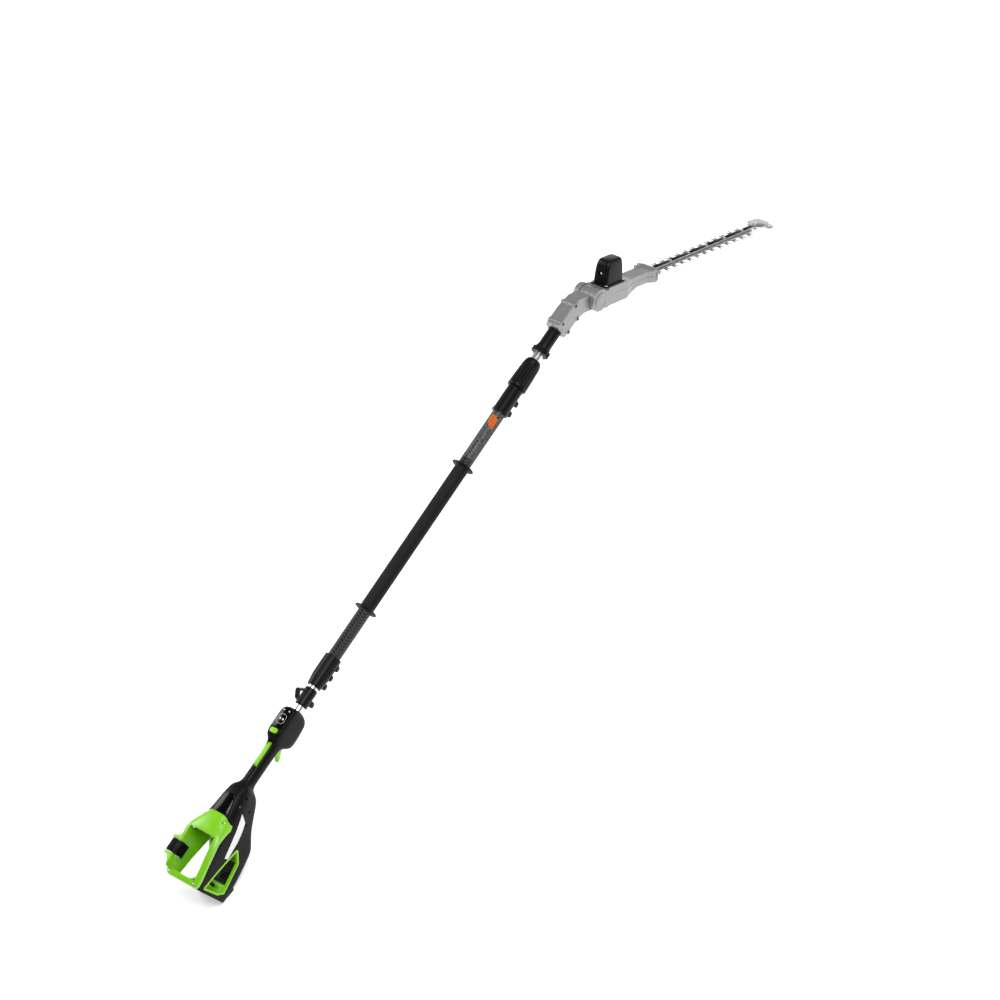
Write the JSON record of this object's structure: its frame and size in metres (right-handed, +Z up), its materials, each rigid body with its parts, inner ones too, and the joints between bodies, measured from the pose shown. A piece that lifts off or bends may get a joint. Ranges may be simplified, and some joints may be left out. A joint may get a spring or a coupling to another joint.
{
  "type": "pole hedge trimmer",
  "caption": "Battery pole hedge trimmer with a rear battery bay, a telescoping pole, a tilting gear head and a double-sided reciprocating blade.",
  "frame": {"origin": "on the floor, below the middle of the tool's box as it lies at rest", "axes": "+X from the battery end towards the blade, +Y to the user's left, +Z up from the floor"},
  "size_m": [2.6204, 0.137, 0.4686],
  "materials": {
    "black_shell": "fine matt texture",
    "green_shell": "satin moulded",
    "gloss_black": "polished",
    "plate_silver": "satin",
    "fin_metal": "black anodised",
    "pod_black": "matt",
    "contact_brass": "carrier with brass contacts",
    "board_green": "coated board",
    "switch_black": "matt",
    "steel": "drawn",
    "screw_steel": "zinc plated",
    "foot_rubber": "matt",
    "green_control": "satin",
    "latch_black": "satin",
    "tube_metal": "bright anodised",
    "collar_black": "satin moulded",
    "bush_plastic": "natural",
    "tube_braid": "woven fibre under clear resin",
    "grip_rubber": "ribbed",
    "label_film": "printed film",
    "cast_grey": "grey powder coat",
    "cover_black": "satin moulded",
    "motor_steel": "laminated steel",
    "gear_steel": "hardened, oiled",
    "blade_steel": "ground edges",
    "rail_alu": "satin"
  },
  "bodies": {
    "handle": {"housing_left": "black_shell", "housing_right": "black_shell", "housing_screws": "screw_steel", "battery_frame": "green_shell", "frame_screws": "screw_steel", "cap_window": "gloss_black", "nameplates": "plate_silver", "fin_block": "fin_metal", "controller_pod": "pod_black", "terminal_block": "contact_brass", "panel_glass": "gloss_black", "panel_board": "board_green", "trigger_switch": "switch_black", "lever_pins": "steel", "rear_foot": "foot_rubber", "lock_spring": "steel", "trigger_spring": "steel", "lower_tube": "tube_metal", "strap_clamp": "collar_black", "strap_clamp_screw": "screw_steel", "lower_collar": "collar_black", "lower_collar_screws": "screw_steel", "collar_bush": "bush_plastic", "outer_tube": "tube_braid", "grip_sleeve": "grip_rubber", "tube_label": "label_film", "upper_collar": "collar_black", "upper_collar_screws": "screw_steel", "collet": "bush_plastic"},
    "button": {"power_button": "green_control"},
    "lock": {"lock_lever": "green_control"},
    "trigger": {"trigger": "green_control"},
    "latch": {"battery_latch": "latch_black", "latch_spring": "steel"},
    "knob": {"twist_knob": "collar_black"},
    "extension": {"inner_tube": "tube_metal", "guide_bush": "bush_plastic", "coupling_sleeve": "collar_black", "neck_left": "cast_grey", "neck_right": "cast_grey", "neck_screws": "screw_steel"},
    "head": {"pivot_pin": "steel", "gearcase_upper": "cast_grey", "gearcase_lower": "cast_grey", "cheek_caps": "cast_grey", "motor_plate": "cover_black", "motor_cover": "cover_black", "cover_screws": "screw_steel", "motor_stator": "motor_steel", "blade_rail": "rail_alu", "rail_cover": "cover_black", "rail_bolts": "screw_steel", "guard_flange": "cast_grey", "tip_guard": "rail_alu"},
    "index_lock": {"index_slider": "cover_black"},
    "rotor": {"motor_rotor": "motor_steel"},
    "crank": {"crank_gear": "gear_steel"},
    "blade_a": {"upper_blade": "blade_steel"},
    "blade_b": {"lower_blade": "blade_steel"}
  },
  "joints": [
    {"name": "button_press", "type": "slide", "parent": "handle", "child": "button", "axis": [0.1666, 0, -0.986], "range_m": [0, 0.0015], "stiffness_N_per_m": 900, "springref_m": -0.001},
    {"name": "lock_press", "type": "hinge", "parent": "handle", "child": "lock", "pos_m": [-0.9004, -0.0115, 0.21861], "axis": [0, 1, 0], "range_deg": [-5, 0], "stiffness_Nm_per_rad": 3, "springref_deg": 3.44, "deforming": ["lock_spring"]},
    {"name": "trigger_pull", "type": "hinge", "parent": "handle", "child": "trigger", "pos_m": [-0.87995, -0.0115, 0.19367], "axis": [0, 1, 0], "range_deg": [0, 9], "stiffness_Nm_per_rad": 2, "springref_deg": -6.88, "deforming": ["trigger_spring"]},
    {"name": "latch_press", "type": "slide", "parent": "handle", "child": "latch", "axis": [0, 1, 0], "range_m": [0, 0.005], "stiffness_N_per_m": 1200, "springref_m": -0.004},
    {"name": "knob_turn", "type": "hinge", "parent": "handle", "child": "knob", "pos_m": [0.29502, -0.0115, 0.40644], "axis": [0.986, 0, 0.1666], "range_deg": [0, 90]},
    {"name": "telescope", "type": "slide", "parent": "handle", "child": "extension", "axis": [0.986, 0, 0.1666], "range_m": [0, 0.6]},
    {"name": "head_tilt", "type": "hinge", "parent": "extension", "child": "head", "pos_m": [0.59536, -0.0115, 0.41157], "axis": [0, 1, 0], "range_deg": [-78, 52]},
    {"name": "index_slide", "type": "slide", "parent": "head", "child": "index_lock", "axis": [0.8712, 0, -0.491], "range_m": [-0.008, 0]},
    {"name": "crank_spin", "type": "hinge", "parent": "head", "child": "crank", "pos_m": [0.68739, -0.0115, 0.37117], "axis": [0.491, 0, 0.8712], "continuous": true},
    {"name": "rotor_spin", "type": "hinge", "parent": "head", "child": "rotor", "pos_m": [0.68438, -0.0115, 0.41879], "axis": [0.491, 0, 0.8712], "continuous": true},
    {"name": "blade_a_slide", "type": "slide", "parent": "head", "child": "blade_a", "axis": [0.8712, 0, -0.491], "range_m": [-0.008, 0.008]},
    {"name": "blade_b_slide", "type": "slide", "parent": "head", "child": "blade_b", "axis": [0.8712, 0, -0.491], "range_m": [-0.008, 0.008]}
  ],
  "couplings": [
    {"joint": "rotor_spin", "follows": "crank_spin", "ratio": -4.2},
    {"joint": "blade_b_slide", "follows": "blade_a_slide", "ratio": -1}
  ]
}
